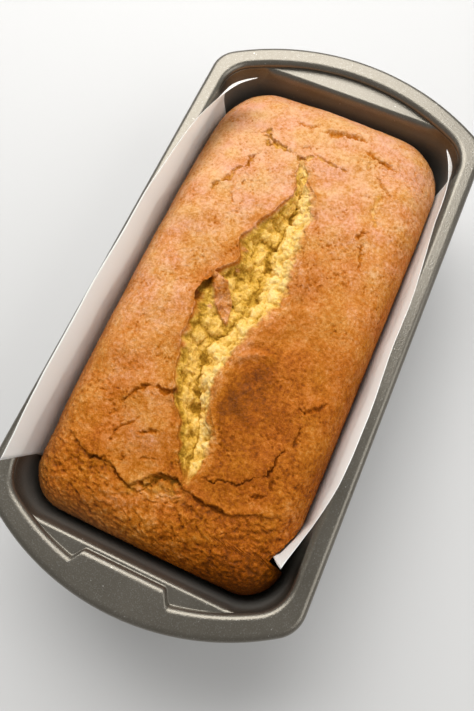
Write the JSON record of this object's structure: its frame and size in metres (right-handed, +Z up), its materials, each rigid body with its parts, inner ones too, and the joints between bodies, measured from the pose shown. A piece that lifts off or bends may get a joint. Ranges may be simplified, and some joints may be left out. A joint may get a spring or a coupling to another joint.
{
  "type": "pound cake loaf",
  "caption": "Domed pound cake loaf with a burst top crust, baked on a parchment sling in its dark loaf tin with bowed end handles.",
  "frame": {"origin": "centre of the tin's underside, on the surface the tin stands on", "axes": "+X along the loaf towards the plain handle, +Y across the loaf, +Z up"},
  "size_m": [0.29, 0.1454, 0.0805],
  "materials": {
    "tin": "dark grey non-stick coating, satin, with a fine metallic sparkle",
    "paper": "cream baking parchment, matte",
    "crust": "golden brown baked crust with fine pores, yellow crumb in the burst"
  },
  "bodies": {
    "root": {"loaf_tin": "tin", "parchment": "paper", "pound_cake": "crust"}
  },
  "joints": []
}
